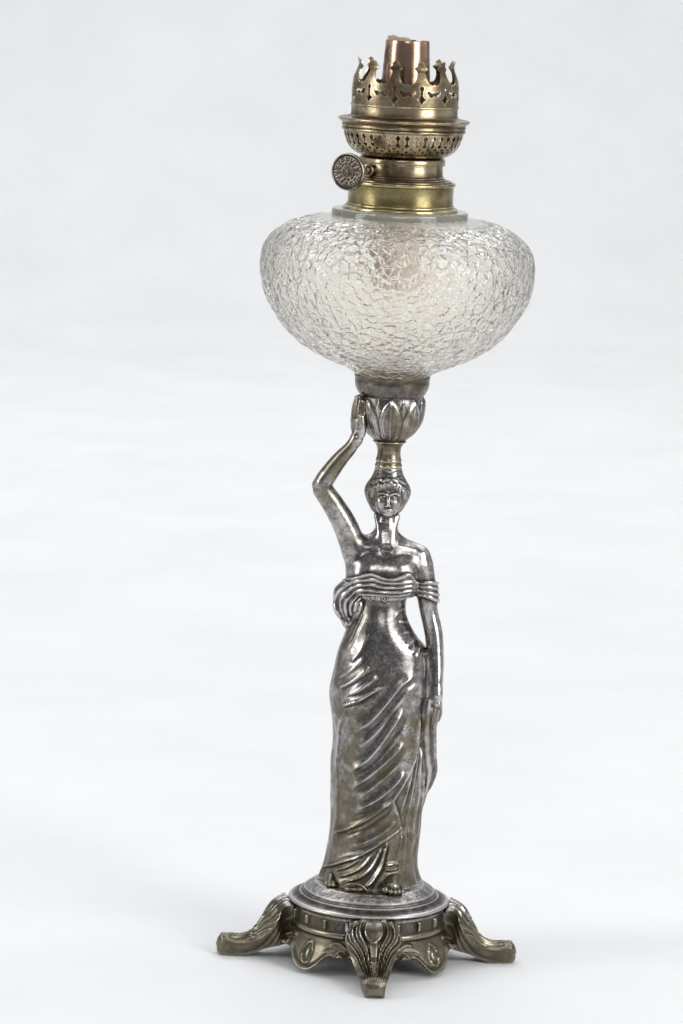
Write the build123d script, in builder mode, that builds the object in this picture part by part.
"""Figural oil table lamp, in millimetres.

The origin is the centre of the four feet, on the table. +Z is up and -Y is the front. A footed base
casting carries a round plinth and a draped figure. The figure holds up a leaf cup, in which a glass oil
font is set in plaster. A 14-line round-wick burner screws into the font's collar. Its gallery lifts off,
and its knob winds the wick.
"""

from build123d import *
import math
import os

os.makedirs("parts", exist_ok=True)

# ---- driving dimensions: base and plinth ----
foot_reach = 82.5  # axis to toe tip
foot_width = 12.5
leg_root_width = 25.0
leg_count = 4
base_height = 31.0
base_radius = 43.0
base_wall = 3.0
band_bar_width = 2.2
band_bar_proud = 1.0
plinth_height = 13.0
plinth_radius = 43.2
plinth_top_radius = 30.0
plinth_wall = 3.5

# ---- driving dimensions: figure ----
figure_height = 231.0  # hem to crown of the head
figure_wall = 2.5
waist_share = 0.675  # height of the seam between dress and torso, as a share of the figure
neck_share = 0.852  # height of the seam at the base of the neck
neck_radius = 6.8
elbow_radius = 4.9
wrist_radius = 3.3

# ---- driving dimensions: stem, cups and font ----
rod_radius = 3.0
rod_clearance = 0.2
nut_radius = 6.0
nut_height = 5.0
washer_radius = 9.0
washer_height = 1.2
stem_height = 14.7
stem_radius = 6.2
leaf_cup_height = 24.8
leaf_cup_radius = 18.6
leaf_cup_wall = 1.8
leaf_cup_floor = 2.3
font_cup_height = 33.5
font_cup_radius = 20.9
font_cup_wall = 1.5
cup_gap = 0.3
glass_radius = 73.8
glass_height = 85.0  # cup rim to the foot of the neck ring
glass_wall = 3.0
glass_foot_depth = 20.0  # how far the glass reaches down into its cup
neck_ring_radius = 36.7
neck_ring_height = 4.5
glass_bore = 23.0

# ---- driving dimensions: collar and burner ----
collar_radius = 28.3
collar_wall = 0.9
collar_height = 15.7
collar_bore = collar_radius - 3.3
collar_flange_radius = collar_radius + 2.9
collar_bead = 0.9
thread_clearance = 0.06
burner_sheet = 0.6
burner_flange_radius = collar_radius - 1.0
neck_cylinder_radius = 22.1
neck_cylinder_height = 8.3
shoulder_radius = 23.2
shoulder_height = 3.6
spigot_radius = 19.0
spigot_clearance = 0.05
tube_top_radius = 11.75
tube_slope = 0.0535  # radius gained per millimetre down the outer wick tube
tube_height = 63.0
tube_wall = 0.4
wick_thickness = 1.7
wick_outer_clearance = 0.5
wick_inner_clearance = 0.9
wick_proud = 2.6
wick_tail = 60.0  # wick hanging below the collar's top
wick_gap_angle = 66.0
duct_width = 11.0
duct_height = 12.0

# ---- driving dimensions: winder ----
winder_azimuth = -122.0
winder_offset = 1.05 * tube_top_radius - 4.34  # spindle axis to lamp axis, inside the wick
knob_reach = 44.6
knob_radius = 9.9
knob_thickness = 2.2
spindle_radius = 1.3
spindle_clearance = 0.05
sleeve_radius = 2.2
sleeve_end = 27.0
boss_radius = 2.9
boss_end = 23.0
sprocket_radius = 3.35
sprocket_teeth = 10
sprocket_spacing = 6.0
sprocket_width = 1.2

# ---- driving dimensions: gallery ----
basket_radius = 32.4
basket_height = 13.8
basket_slots = 40
slot_width = 1.2
flange_radius = basket_radius + 3.0
flange_height = 7.6
gallery_radius = 28.6
gallery_height = 5.6
gallery_sheet = 0.7
crown_height = 25.5
crown_bead = 0.5
prong_count = 12
prong_phase = 14.0  # angle of the first prong from +X
prong_width = 4.6
prong_height = 12.0
prong_slit_width = 1.0
prong_slit_height = 6.0
valley_slot_width = 6.0
valley_slot_height = 1.6

# ---- levels, from the table upwards ----
base_top = base_height
plinth_top = base_top + plinth_height
head_top = plinth_top + figure_height
cup_floor = head_top + stem_height
leaf_top = cup_floor + leaf_cup_height
font_cup_floor = cup_floor + leaf_cup_floor
rim = font_cup_floor + font_cup_height
ring_foot = rim + glass_height
ring_top = ring_foot + neck_ring_height
collar_foot = ring_top
collar_top = collar_foot + collar_height
neck_foot = collar_top + burner_sheet
neck_head = neck_foot + neck_cylinder_height
shoulder_top = neck_head + shoulder_height
tube_foot = shoulder_top - burner_sheet
tube_top = tube_foot + tube_height
basket_top = shoulder_top + basket_height
gallery_foot = basket_top + flange_height
crown_foot = gallery_foot + gallery_height
crown_top = crown_foot + crown_height


def write(part, name):
    """Labels one finished piece and writes it."""
    part.label = name
    export_step(part, f"parts/{name}.step")


def facing_plane(angle):
    """The upright plane on the axis that faces outwards at an angle: x runs round, y runs up."""
    turn = math.radians(angle)
    return Plane(
        origin=(0, 0, 0),
        x_dir=(-math.sin(turn), math.cos(turn), 0),
        z_dir=(math.cos(turn), math.sin(turn), 0),
    )


def turned(outline):
    """A solid of revolution about the lamp's axis, from a closed outline of (radius, height) points."""
    with BuildPart() as body:
        with BuildSketch(Plane.XZ):
            with BuildLine():
                Polyline(*outline, close=True)
            make_face()
        revolve(axis=Axis.Z)
    return body.part


def casting(sections, inset=0.0):
    """A loft through upright elliptical sections of (height, x, y, half width, half depth)."""
    with BuildPart() as body:
        for height, x, y, half_width, half_depth in sections:
            with BuildSketch(Plane.XY.offset(height)):
                with Locations((x, y)):
                    Ellipse(half_width - inset, half_depth - inset)
        loft()
    return body.part


def limb(stations):
    """Tapered runs with round joints through stations of (point, radius)."""
    with BuildPart() as body:
        for (start, start_radius), (end, end_radius) in zip(stations, stations[1:]):
            run = Vector(end) - Vector(start)
            with Locations(Plane(origin=start, z_dir=run)):
                Cone(
                    start_radius,
                    end_radius,
                    run.length,
                    align=(Align.CENTER, Align.CENTER, Align.MIN),
                )
        for point, radius in stations:
            with Locations(point):
                Sphere(radius)
    return body.part


def on_figure(x, y, share):
    """A point of the figure, by its share of the figure's height."""
    return (x, y, plinth_top + share * figure_height)


# ---- base casting ----
def leg():
    """One leg along +X: an S-shaped side outline, narrowing to its toe."""
    shoulder = base_radius + 1.0
    with BuildPart() as body:
        with BuildSketch(Plane.XY):
            with BuildLine():
                Polyline(
                    (base_radius - 5, leg_root_width / 2),
                    (base_radius + 7, leg_root_width / 2),
                    (foot_reach - 15, foot_width / 2),
                    (foot_reach, foot_width / 2),
                    (foot_reach, -foot_width / 2),
                    (foot_reach - 15, -foot_width / 2),
                    (base_radius + 7, -leg_root_width / 2),
                    (base_radius - 5, -leg_root_width / 2),
                    close=True,
                )
            make_face()
        extrude(amount=base_height + plinth_height)
        with BuildSketch(Plane.XZ):
            with BuildLine():
                top = Spline(
                    (shoulder, base_height + 1.5),
                    (shoulder + 10, base_height - 3.5),
                    (foot_reach - 22, base_height * 0.58),
                    (foot_reach - 14, 10.6),
                    (foot_reach - 5, 11.2),
                    (foot_reach, 5.5),
                )
                toe = Line(top @ 1, (foot_reach - 1.5, 0))
                sole = Line(toe @ 1, (foot_reach - 17, 0))
                sweep_up = Spline(
                    sole @ 1, (foot_reach - 24, 3.4), (base_radius + 7, 6.0)
                )
                inner = Line(sweep_up @ 1, (base_radius - 4.5, 8.0))
                back = Line(inner @ 1, (base_radius - 4.5, base_height + 1.5))
                Line(back @ 1, top @ 0)
            make_face()
        extrude(amount=leg_root_width, both=True, mode=Mode.INTERSECT)
    return body.part


base_plate_foot = base_top - base_wall
drum = base_radius - 2.2
with BuildPart() as base_foot:
    with BuildSketch(Plane.XZ):
        with BuildLine():
            Polyline(
                (rod_radius + rod_clearance, base_top),
                (base_radius, base_top),
                (base_radius, base_top - 2),
                (drum, base_top - 4),
                (drum, 17.5),
                (base_radius + 0.8, 15.5),
                (base_radius + 0.8, 12.5),
                (base_radius - 0.5, 11.0),
                (base_radius + 2, 6.5),
                (base_radius + 6.8, 1.2),
                (base_radius + 6.8 - base_wall, 1.2),
                (drum - base_wall, 11.0),
                (drum - base_wall, base_plate_foot),
                (rod_radius + rod_clearance, base_plate_foot),
                close=True,
            )
        make_face()
    revolve(axis=Axis.Z)
    for step in range(leg_count):
        with BuildSketch(facing_plane(step * 360 / leg_count)):
            with BuildLine():
                Polyline((-25, -1), (-16.5, 8), (16.5, 8), (25, -1), close=True)
            make_face()
        extrude(amount=foot_reach, mode=Mode.SUBTRACT)
    one_leg = leg()
    for step in range(leg_count):
        add(one_leg.rotate(Axis.Z, step * 360 / leg_count))
    for step in range(leg_count):
        for offset_angle in (-26.25, -8.75, 8.75, 26.25):
            bar_angle = (step + 0.5) * 360 / leg_count + offset_angle
            bar_middle = (17.5 + base_top - 4) / 2
            with Locations(facing_plane(bar_angle).offset(drum + band_bar_proud / 2)):
                with Locations((0, bar_middle)):
                    Box(band_bar_width, base_top - 24, band_bar_proud + 1)
    with Locations((0, 0, base_plate_foot)):
        Cylinder(
            drum - base_wall,
            base_plate_foot,
            align=(Align.CENTER, Align.CENTER, Align.MAX),
            mode=Mode.SUBTRACT,
        )
    with Locations((0, 0, base_top)):
        Cylinder(
            plinth_radius + 0.1,
            plinth_height,
            align=(Align.CENTER, Align.CENTER, Align.MIN),
            mode=Mode.SUBTRACT,
        )
write(base_foot.part, "base_foot")

# ---- plinth with rough ground ----
with BuildPart() as plinth:
    add(
        turned(
            [
                (rod_radius + rod_clearance, plinth_top),
                (plinth_top_radius, plinth_top),
                (plinth_radius - 8, base_top + 6.6),
                (plinth_radius - 3.2, base_top + 4.6),
                (plinth_radius - 2.4, base_top + 4.0),
                (plinth_radius, base_top + 2.6),
                (plinth_radius, base_top),
                (plinth_radius - plinth_wall, base_top),
                (plinth_top_radius - plinth_wall, plinth_top - plinth_wall),
                (rod_radius + rod_clearance, plinth_top - plinth_wall),
            ]
        )
    )
write(plinth.part, "plinth")

# ---- figure: hollow castings, widths read at the hem, knee, hip, waist, breast and neck ----
dress_sections = [
    (plinth_top, -0.4, 0.5, 28.2, 26.5),
    (plinth_top + 0.07 * figure_height, 0.6, 0.5, 25.3, 24.0),
    (plinth_top + 0.16 * figure_height, 2.4, 0.5, 24.7, 22.0),
    (plinth_top + 0.33 * figure_height, 2.0, 0.0, 25.0, 21.5),
    (plinth_top + 0.46 * figure_height, -0.2, 0.0, 26.0, 21.0),
    (plinth_top + 0.57 * figure_height, 0.8, 0.5, 22.8, 18.0),
    (plinth_top + waist_share * figure_height, 0.0, 0.5, 13.2, 11.5),
]
torso_sections = [
    (plinth_top + waist_share * figure_height, 0.0, 0.5, 13.2, 11.5),
    (plinth_top + 0.725 * figure_height, 0.0, 0.0, 15.5, 12.8),
    (plinth_top + 0.775 * figure_height, 0.5, 0.0, 18.0, 12.6),
    (plinth_top + 0.81 * figure_height, 0.0, 1.0, 18.5, 10.0),
    (plinth_top + neck_share * figure_height, 0.0, 1.0, neck_radius + 1, neck_radius + 1),
]
head_sections = [
    (plinth_top + neck_share * figure_height, 0.0, 1.0, neck_radius + 1, neck_radius + 1),
    (plinth_top + 0.88 * figure_height, 0.2, 0.6, neck_radius, neck_radius),
    (plinth_top + 0.91 * figure_height, 0.4, 0.0, 9.0, 9.5),
    (plinth_top + 0.945 * figure_height, 0.4, 0.4, 12.8, 12.6),
    (plinth_top + 0.975 * figure_height, 0.2, 0.6, 10.4, 11.0),
    (head_top, 0.0, 0.0, stem_radius + 1.3, stem_radius + 1.3),
]
rod_way = rod_radius + rod_clearance

with BuildPart() as figure_dress:
    add(casting(dress_sections))
    add(casting(dress_sections, inset=figure_wall), mode=Mode.SUBTRACT)
write(figure_dress.part, "figure_dress")

with BuildPart() as figure_torso:
    add(casting(torso_sections))
    add(casting(torso_sections, inset=figure_wall), mode=Mode.SUBTRACT)
write(figure_torso.part, "figure_torso")

with BuildPart() as figure_head:
    add(casting(head_sections))
    with Locations((0, 0, plinth_top)):
        Cylinder(
            rod_way,
            figure_height,
            align=(Align.CENTER, Align.CENTER, Align.MIN),
            mode=Mode.SUBTRACT,
        )
write(figure_head.part, "figure_head")

# ---- spool stem above the head ----
with BuildPart() as spool_stem:
    add(
        turned(
            [
                (rod_way, head_top),
                (stem_radius + 1.3, head_top),
                (stem_radius + 1.7, head_top + 1.0),
                (stem_radius + 0.9, head_top + 2.4),
                (stem_radius + 1.0, head_top + 4.2),
                (stem_radius, head_top + 6.5),
                (stem_radius, head_top + 10.0),
                (stem_radius + 1.5, head_top + 12.8),
                (stem_radius + 2.8, cup_floor),
                (rod_way, cup_floor),
            ]
        )
    )
write(spool_stem.part, "spool_stem")


# ---- leaf cup and font cup, one nested in the other ----
def leaf_cup_side(inset):
    """The swelling side of the leaf cup above its floor, moved inwards by an inset."""
    shares = [(0.66, 3.0), (0.80, 6.2), (0.92, 10.3), (0.985, 15.3), (1.0, 20.3)]
    side = [(leaf_cup_radius * share - inset, cup_floor + rise) for share, rise in shares]
    return side + [(leaf_cup_radius * 0.97 - inset, leaf_top)]


def font_cup_side(inset):
    """The font cup's side: nested in the leaf cup, then opening as a bowl to its rim."""
    nested = leaf_cup_side(leaf_cup_wall + cup_gap + inset)
    bowl = [
        (font_cup_radius * 0.85 - inset, leaf_top + 2.0),
        (font_cup_radius * 0.93 - inset, (leaf_top + rim) / 2),
        (font_cup_radius - inset, rim),
    ]
    return nested + bowl


with BuildPart() as leaf_cup:
    outside = [(rod_way, cup_floor), (stem_radius + 2.8, cup_floor)] + leaf_cup_side(0)
    inside = [(rod_way, font_cup_floor), (9.8, font_cup_floor)] + leaf_cup_side(leaf_cup_wall)
    add(turned(outside + inside[::-1]))
write(leaf_cup.part, "leaf_cup")

font_cup_bed = font_cup_floor + font_cup_wall
with BuildPart() as font_cup:
    outside = [(rod_way, font_cup_floor), (9.5, font_cup_floor)] + font_cup_side(0)
    inside = [(rod_way, font_cup_bed), (9.0, font_cup_bed)] + font_cup_side(font_cup_wall)[1:]
    add(turned(outside + inside[::-1]))
write(font_cup.part, "font_cup")

# ---- tie rod, its nuts and washer ----
washer_foot = base_plate_foot - washer_height
base_nut_foot = washer_foot - nut_height
rod_foot = base_nut_foot - 2.0
cup_nut_top = font_cup_bed + nut_height
rod_top = cup_nut_top + 1.0

with BuildPart() as tie_rod:
    with Locations((0, 0, rod_foot)):
        Cylinder(rod_radius, rod_top - rod_foot, align=(Align.CENTER, Align.CENTER, Align.MIN))
write(tie_rod.part, "tie_rod")

with BuildPart() as base_washer:
    with BuildSketch(Plane.XY.offset(washer_foot)):
        Circle(washer_radius)
        Circle(rod_way, mode=Mode.SUBTRACT)
    extrude(amount=washer_height)
write(base_washer.part, "base_washer")

for nut_name, nut_foot in (("base_nut", base_nut_foot), ("cup_nut", font_cup_bed)):
    with BuildPart() as nut:
        with BuildSketch(Plane.XY.offset(nut_foot)):
            RegularPolygon(nut_radius, 6)
            Circle(rod_radius, mode=Mode.SUBTRACT)
        extrude(amount=nut_height)
    write(nut.part, nut_name)

# ---- glass oil font and its plaster bed ----
glass_foot_radius = font_cup_radius - font_cup_wall - 0.4
glass_foot_side = [
    (7.0, rim - glass_foot_depth),
    (10.5, rim - glass_foot_depth * 0.8),
    (12.0, rim - glass_foot_depth * 0.55),
    (glass_foot_radius - 3.2, rim - glass_foot_depth * 0.2),
    (glass_foot_radius, rim),
]


def glass_swell(foot_radius, mouth_radius, foot_drop, top_drop, inset):
    """Points up the font's turnip-shaped side, from its foot to its neck ring."""
    swell = glass_radius - glass_foot_radius
    shares = [(0.33, 0.112), (0.745, 0.288), (0.95, 0.524), (1.0, 0.724), (0.89, 0.876), (0.60, 0.97)]
    low = rim - foot_drop
    high = ring_foot - top_drop
    middle = [
        (glass_foot_radius + swell * across - inset, low + (high - low) * up)
        for across, up in shares
    ]
    return [(foot_radius, low)] + middle + [(mouth_radius, high)]


with BuildPart() as glass_font:
    with BuildSketch(Plane.XZ):
        with BuildLine():
            foot = Polyline((0, rim - glass_foot_depth), *glass_foot_side)
            swell_outside = Spline(
                *glass_swell(glass_foot_radius, neck_ring_radius, 0, 0, 0)
            )
            lip = Polyline(
                swell_outside @ 1,
                (neck_ring_radius, ring_top),
                (collar_radius - collar_wall - 0.8, ring_top),
                (collar_radius - collar_wall - 0.8, ring_top + 4.6),
                (glass_bore, ring_top + 4.6),
                (glass_bore, ring_foot),
            )
            swell_inside = Spline(
                *glass_swell(
                    glass_foot_radius - glass_wall,
                    glass_bore,
                    -1.5,
                    glass_wall,
                    glass_wall,
                )
            )
            Line(lip @ 1, swell_inside @ 1)
            Polyline(
                swell_inside @ 0,
                (9.0, rim - glass_foot_depth * 0.6),
                (6.0, rim - glass_foot_depth + glass_wall),
                (0, rim - glass_foot_depth + glass_wall),
                (0, rim - glass_foot_depth),
            )
        make_face()
    revolve(axis=Axis.Z)
write(glass_font.part, "glass_font")

with BuildPart() as cup_plaster:
    bed = font_cup_side(font_cup_wall)[2:]
    add(turned([(0, bed[0][1]), *bed, *glass_foot_side[::-1], (0, rim - glass_foot_depth)]))
write(cup_plaster.part, "cup_plaster")

# ---- collar and its plaster ----
thread_foot = collar_foot + 6.0
collar_inside = collar_radius - collar_wall
with BuildPart() as collar:
    add(
        turned(
            [
                (collar_inside, collar_foot),
                (collar_flange_radius, collar_foot),
                (collar_flange_radius, collar_foot + 1.6),
                (collar_radius, collar_foot + 2.8),
                (collar_radius, collar_top - 2.2),
                (collar_radius + collar_bead, collar_top - 1.8),
                (collar_radius + collar_bead, collar_top - 0.4),
                (collar_radius, collar_top),
                (collar_bore, collar_top),
                (collar_bore, thread_foot),
                (collar_inside, thread_foot),
            ]
        )
    )
write(collar.part, "collar")

with BuildPart() as collar_plaster:
    with BuildSketch(Plane.XY.offset(ring_top)):
        Circle(collar_inside)
        Circle(collar_inside - 0.8, mode=Mode.SUBTRACT)
    extrude(amount=4.6)
write(collar_plaster.part, "collar_plaster")

# ---- winder frame: the spindle's axis and the two directions square to it ----
spindle_height = neck_head - boss_radius - 0.1
outward = Vector(math.cos(math.radians(winder_azimuth)), math.sin(math.radians(winder_azimuth)), 0)
sideways = Vector(outward.Y, -outward.X, 0)
duct_azimuth = winder_azimuth - 19.0


def spindle_plane(reach):
    """The plane square to the spindle at a distance along it from the foot of its perpendicular."""
    middle = sideways * winder_offset + outward * reach + Vector(0, 0, spindle_height)
    return Plane(origin=middle, x_dir=(0, 0, 1), z_dir=outward)


# ---- burner: threaded base with its neck and winder boss ----
skirt_radius = collar_bore - thread_clearance
skirt_inside = skirt_radius - 0.8
neck_inside = neck_cylinder_radius - burner_sheet
with BuildPart() as burner_base:
    add(
        turned(
            [
                (skirt_inside, thread_foot + 0.5),
                (skirt_radius, thread_foot + 0.5),
                (skirt_radius, collar_top),
                (burner_flange_radius, collar_top),
                (burner_flange_radius, neck_foot),
                (neck_cylinder_radius + 1.2, neck_foot + 0.9),
                (neck_cylinder_radius, neck_foot + 2.0),
                (neck_cylinder_radius, neck_head),
                (neck_inside, neck_head),
                (neck_inside, collar_top),
                (skirt_inside, collar_top - burner_sheet),
            ]
        )
    )
    with BuildSketch(spindle_plane(neck_inside - 6)):
        Circle(boss_radius)
    extrude(amount=boss_end - neck_inside + 6)
    with Locations((0, 0, collar_top)):
        Cylinder(
            neck_inside,
            neck_head - collar_top,
            align=(Align.CENTER, Align.CENTER, Align.MIN),
            mode=Mode.SUBTRACT,
        )
    with BuildSketch(spindle_plane(neck_inside - 6)):
        Circle(sleeve_radius)
    extrude(amount=boss_end - neck_inside + 7, mode=Mode.SUBTRACT)
write(burner_base.part, "burner_base")

# ---- burner: wick tubes, all from the outer tube's taper ----
wick_play = tube_wall + wick_outer_clearance
tube_gap = wick_play + wick_thickness + wick_inner_clearance
air_tube_foot = tube_foot + 7.6
air_tube_top = tube_top - 0.4


def tube_radius(height):
    """The outer wick tube's outside radius at a height."""
    return tube_top_radius + (tube_top - height) * tube_slope


def tapered_tube(foot, top, inset, wall):
    """A tapered shell that follows the outer wick tube, moved inwards by an inset."""
    foot_radius = tube_radius(foot) - inset
    top_radius = tube_radius(top) - inset
    return turned(
        [
            (foot_radius - wall, foot),
            (foot_radius, foot),
            (top_radius, top),
            (top_radius - wall, top),
        ]
    )


with BuildPart() as shoulder_ring:
    add(
        turned(
            [
                (neck_inside, neck_head),
                (shoulder_radius, neck_head),
                (shoulder_radius, shoulder_top - 0.5),
                (shoulder_radius - 0.5, shoulder_top),
                (spigot_radius, shoulder_top),
                (spigot_radius, shoulder_top + 2.0),
                (spigot_radius - 0.8, shoulder_top + 2.0),
                (spigot_radius - 0.8, shoulder_top),
                (tube_radius(tube_foot) + 0.02, shoulder_top),
                (tube_radius(tube_foot) + 0.02, tube_foot),
                (neck_inside, tube_foot),
            ]
        )
    )
write(shoulder_ring.part, "shoulder_ring")

duct_foot = air_tube_foot
duct_middle = duct_foot + duct_height / 2
duct_wall = 0.4
with BuildPart() as outer_wick_tube:
    add(tapered_tube(tube_foot - burner_sheet, tube_top, 0, tube_wall))
    add(
        turned(
            [
                (tube_radius(tube_foot) - 0.1, tube_foot - burner_sheet),
                (tube_radius(tube_foot) + 2.0, tube_foot - burner_sheet),
                (tube_radius(tube_foot) + 2.0, tube_foot),
                (tube_radius(tube_foot) - 0.1, tube_foot),
            ]
        )
    )
    with BuildSketch(facing_plane(duct_azimuth)):
        with Locations((0, duct_middle)):
            Rectangle(duct_width - 2 * duct_wall, duct_height - 2 * duct_wall)
    extrude(amount=tube_radius(duct_foot) + 1, mode=Mode.SUBTRACT)
write(outer_wick_tube.part, "outer_wick_tube")

with BuildPart() as air_duct:
    with BuildSketch(facing_plane(duct_azimuth)):
        with Locations((0, duct_middle)):
            Rectangle(duct_width, duct_height)
    extrude(amount=tube_radius(duct_foot) + 1)
    between_tubes = tapered_tube(
        duct_foot, duct_foot + duct_height, tube_wall, tube_gap - tube_wall
    )
    add(between_tubes, mode=Mode.INTERSECT)

with BuildPart() as inner_air_tube:
    add(tapered_tube(air_tube_foot, air_tube_top, tube_gap, tube_wall))
    add(air_duct.part)
    with BuildSketch(facing_plane(duct_azimuth)):
        with Locations((0, duct_middle)):
            Rectangle(duct_width - 2 * duct_wall, duct_height - 2 * duct_wall)
    extrude(amount=tube_radius(duct_foot) + 1, mode=Mode.SUBTRACT)
write(inner_air_tube.part, "inner_air_tube")

# ---- wick: a split sleeve, straight below and tapered with the tubes above ----
wick_bend = air_tube_foot + 2.0
wick_foot = collar_top - wick_tail
wick_top = tube_top + wick_proud
wick_outside = tube_radius(wick_bend) - wick_play
wick_tip = tube_radius(wick_top) - wick_play
with BuildPart() as wick:
    add(
        turned(
            [
                (wick_outside - wick_thickness, wick_foot),
                (wick_outside, wick_foot),
                (wick_outside, wick_bend),
                (wick_tip, wick_top),
                (wick_tip - wick_thickness, wick_top),
                (wick_outside - wick_thickness, wick_bend),
            ]
        )
    )
    half_gap = math.radians(wick_gap_angle / 2)
    with BuildSketch(Plane.XY.offset(wick_foot)):
        with Locations(Rotation(0, 0, duct_azimuth)):
            Polygon(
                (0, 0),
                (30, -30 * math.tan(half_gap)),
                (30, 30 * math.tan(half_gap)),
                align=None,
            )
    extrude(amount=duct_foot + duct_height + 14 - wick_foot, mode=Mode.SUBTRACT)
write(wick.part, "wick")

with BuildPart() as wick_guide_plate:
    with BuildSketch(Plane.XY.offset(collar_top - 5)):
        Circle(skirt_inside)
        Circle(wick_outside + 0.9, mode=Mode.SUBTRACT)
    extrude(amount=0.8)
write(wick_guide_plate.part, "wick_guide_plate")

# ---- winder: hanger, sleeve, spindle, sprockets and knob ----
bearing_radius = spindle_radius + spindle_clearance
hanger_reach = 5.55 - tube_top_radius
hanger_thickness = 1.2
hanger_width = 3.4
hanger_drop = 3.0  # how far it reaches below the spindle's axis
with BuildPart() as spindle_hanger:
    with BuildSketch(spindle_plane(hanger_reach)):
        with Locations(((air_tube_foot - spindle_height - hanger_drop) / 2, -0.1)):
            Rectangle(air_tube_foot - spindle_height + hanger_drop, hanger_width)
        Circle(bearing_radius, mode=Mode.SUBTRACT)
    extrude(amount=hanger_thickness)
write(spindle_hanger.part, "spindle_hanger")

with BuildPart() as winder_sleeve:
    with BuildSketch(spindle_plane(neck_inside - 4)):
        Circle(sleeve_radius)
        Circle(bearing_radius, mode=Mode.SUBTRACT)
    extrude(amount=sleeve_end - neck_inside + 4)
    with BuildSketch(spindle_plane(boss_end)):
        Circle(sleeve_radius + 0.9)
        Circle(sleeve_radius - 0.1, mode=Mode.SUBTRACT)
    extrude(amount=1.3)
write(winder_sleeve.part, "winder_sleeve")

with BuildPart() as winder_spindle:
    with BuildSketch(spindle_plane(hanger_reach - 0.6)):
        Circle(spindle_radius)
    extrude(amount=knob_reach - hanger_reach + 0.6)
write(winder_spindle.part, "winder_spindle")

with BuildPart() as wick_sprockets:
    for side in (-1, 1):
        with BuildSketch(spindle_plane(side * sprocket_spacing / 2 - sprocket_width / 2)):
            Circle(sprocket_radius * 0.72)
            with PolarLocations(sprocket_radius * 0.8, sprocket_teeth):
                RegularPolygon(sprocket_radius * 0.2, 3)
            Circle(spindle_radius, mode=Mode.SUBTRACT)
        extrude(amount=sprocket_width)
write(wick_sprockets.part, "wick_sprockets")

with BuildPart() as winder_knob:
    with BuildSketch(spindle_plane(knob_reach - knob_thickness / 2)):
        Circle(knob_radius)
    extrude(amount=knob_thickness)
    with BuildSketch(spindle_plane(knob_reach - knob_thickness / 2 - 4)):
        Circle(spindle_radius * 2)
    extrude(amount=4)
    with BuildSketch(spindle_plane(knob_reach - knob_thickness / 2 - 4)):
        Circle(spindle_radius)
    extrude(amount=4 + knob_thickness / 2, mode=Mode.SUBTRACT)
write(winder_knob.part, "winder_knob")


# ---- gallery: perforated basket, flange and pronged crown ----
def basket_side(inset):
    """The bowl of the basket, foot to rim."""
    shares = [(0.725, 0.05), (0.80, 0.15), (0.905, 0.36), (0.965, 0.63), (0.993, 0.91), (1.0, 1.0)]
    foot = shoulder_top + burner_sheet / 2
    rise = basket_top - foot
    return [(basket_radius * across - inset, foot + rise * up) for across, up in shares]


with BuildPart() as basket:
    foot_hole = spigot_radius + spigot_clearance
    outside = [(foot_hole, shoulder_top), (basket_radius * 0.67, shoulder_top)] + basket_side(0)
    inside = [(foot_hole, shoulder_top + burner_sheet)] + [
        (radius, height + burner_sheet) for radius, height in basket_side(burner_sheet)[:-1]
    ]
    inside = inside + [(basket_radius - burner_sheet, basket_top)]
    add(turned(outside + inside[::-1]))
    for step in range(basket_slots):
        with BuildSketch(facing_plane(step * 360 / basket_slots)):
            with Locations((0, basket_top - 5.3)):
                Rectangle(slot_width, 5.6)
        extrude(amount=basket_radius + 2, mode=Mode.SUBTRACT)
write(basket.part, "basket")

ledge_top = gallery_foot + 0.8
gallery_inside = gallery_radius - gallery_sheet
with BuildPart() as gallery_flange:
    add(
        turned(
            [
                (basket_radius - burner_sheet, basket_top),
                (basket_radius + 0.9, basket_top + 0.9),
                (basket_radius + 0.9, basket_top + 2.8),
                (basket_radius + 0.1, basket_top + 3.6),
                (flange_radius, basket_top + 6.0),
                (flange_radius, basket_top + 6.9),
                (gallery_radius + 0.6, gallery_foot),
                (gallery_radius, gallery_foot + 0.6),
                (gallery_radius, crown_foot),
                (gallery_inside, crown_foot),
                (gallery_inside, ledge_top),
                (gallery_inside - 4, ledge_top),
                (gallery_inside - 4, ledge_top - 0.7),
                (gallery_radius + 2, gallery_foot - 0.7),
                (basket_radius - 0.5, basket_top + 5.6),
                (basket_radius - 1.2, basket_top + 3.6),
                (basket_radius - 1.2, basket_top),
            ]
        )
    )
write(gallery_flange.part, "gallery_flange")

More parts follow.
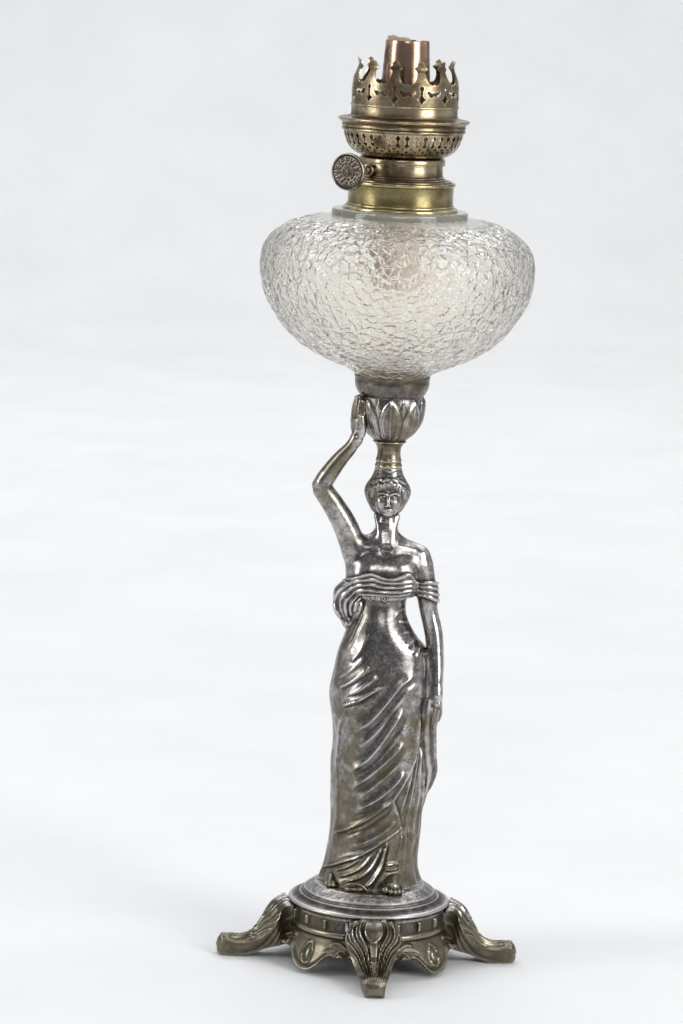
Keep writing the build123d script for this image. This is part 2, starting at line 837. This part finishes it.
valley = crown_top - prong_height
with BuildPart() as crown:
    add(
        turned(
            [
                (gallery_radius, crown_foot),
                (gallery_radius + crown_bead, crown_foot + 0.3),
                (gallery_radius + crown_bead, crown_foot + 1.3),
                (gallery_radius, crown_foot + 1.6),
                (gallery_radius, valley + 1),
                (gallery_radius - 1.0, valley + 6),
                (gallery_radius - 1.7, crown_top - 3),
                (gallery_radius - 0.7, crown_top),
                (gallery_inside - 0.7, crown_top),
                (gallery_inside - 1.7, crown_top - 3),
                (gallery_inside - 1.0, valley + 6),
                (gallery_inside, valley + 1),
                (gallery_inside, crown_foot),
            ]
        )
    )
    prong_pitch = 2 * math.pi * gallery_radius / prong_count
    valley_half = (prong_pitch - prong_width) / 2
    for step in range(prong_count):
        prong_angle = prong_phase + step * 360 / prong_count
        valley_angle = prong_angle + 180 / prong_count
        with BuildSketch(facing_plane(valley_angle)):
            with BuildLine():
                Polyline(
                    (-valley_half * 0.5, valley),
                    (-valley_half, valley + 5),
                    (-valley_half, crown_top + 1),
                    (valley_half, crown_top + 1),
                    (valley_half, valley + 5),
                    (valley_half * 0.5, valley),
                    close=True,
                )
            make_face()
            with Locations((0, valley - 5)):
                Rectangle(valley_slot_width, valley_slot_height)
        extrude(amount=gallery_radius + 2, mode=Mode.SUBTRACT)
        with BuildSketch(facing_plane(prong_angle)):
            with Locations((0, valley - 6)):
                Rectangle(prong_slit_width, prong_slit_height)
        extrude(amount=gallery_radius + 2, mode=Mode.SUBTRACT)
write(crown.part, "crown")

# ---- figure: arms and loose drapery, trimmed to what they lie against ----
hand_reach = leaf_cup_radius + 1.6
with BuildPart() as raised_arm:
    add(
        limb(
            [
                (on_figure(-17.5, 0.5, 0.81), 6.6),
                (on_figure(-24.5, -1.0, 0.865), 6.0),
                (on_figure(-35.6, -4.0, 0.953), elbow_radius),
                (on_figure(-28.0, -6.5, 1.01), 4.3),
                ((-20.0, -9.5, cup_floor + 2), wrist_radius),
                ((-hand_reach * 0.88, -hand_reach * 0.5, cup_floor + 12), 3.0),
                ((-hand_reach * 0.85, -hand_reach * 0.5, cup_floor + 22), 2.0),
            ]
        )
    )
    add(casting(torso_sections), mode=Mode.SUBTRACT)
    cup_outline = [(0, cup_floor), (stem_radius + 2.8, cup_floor)] + leaf_cup_side(0)
    add(turned(cup_outline + [(0, leaf_top)]), mode=Mode.SUBTRACT)
write(raised_arm.part, "raised_arm")

with BuildPart() as lowered_arm:
    add(
        limb(
            [
                (on_figure(18.5, 1.0, 0.792), 6.2),
                (on_figure(24.0, 0.0, 0.72), 5.4),
                (on_figure(27.5, -1.5, 0.61), elbow_radius),
                (on_figure(29.5, -6.0, 0.53), 4.0),
                (on_figure(29.5, -9.0, 0.46), 3.4),
                (on_figure(29.0, -9.5, 0.42), 3.0),
            ]
        )
    )
    add(casting(torso_sections), mode=Mode.SUBTRACT)
    add(casting(dress_sections), mode=Mode.SUBTRACT)
write(lowered_arm.part, "lowered_arm")

with BuildPart() as drapery_swag:
    add(
        limb(
            [
                (on_figure(-12.0, -3.0, 0.735), 6.5),
                (on_figure(-17.0, -1.0, 0.70), 9.6),
                (on_figure(-16.5, -0.5, 0.66), 8.6),
                (on_figure(-17.0, -0.5, 0.625), 5.0),
            ]
        )
    )
    add(casting(torso_sections), mode=Mode.SUBTRACT)
    add(casting(dress_sections), mode=Mode.SUBTRACT)
    add(raised_arm.part, mode=Mode.SUBTRACT)
write(drapery_swag.part, "drapery_swag")

with BuildPart() as hanging_drapery:
    add(
        limb(
            [
                (on_figure(30.5, 1.0, 0.60), 3.6),
                (on_figure(31.5, 0.0, 0.50), 4.4),
                (on_figure(28.5, -4.0, 0.40), 3.8),
                (on_figure(28.5, -4.0, 0.30), 5.0),
                (on_figure(27.0, -3.0, 0.24), 3.5),
            ]
        )
    )
    add(lowered_arm.part, mode=Mode.SUBTRACT)
    add(casting(dress_sections), mode=Mode.SUBTRACT)
write(hanging_drapery.part, "hanging_drapery")
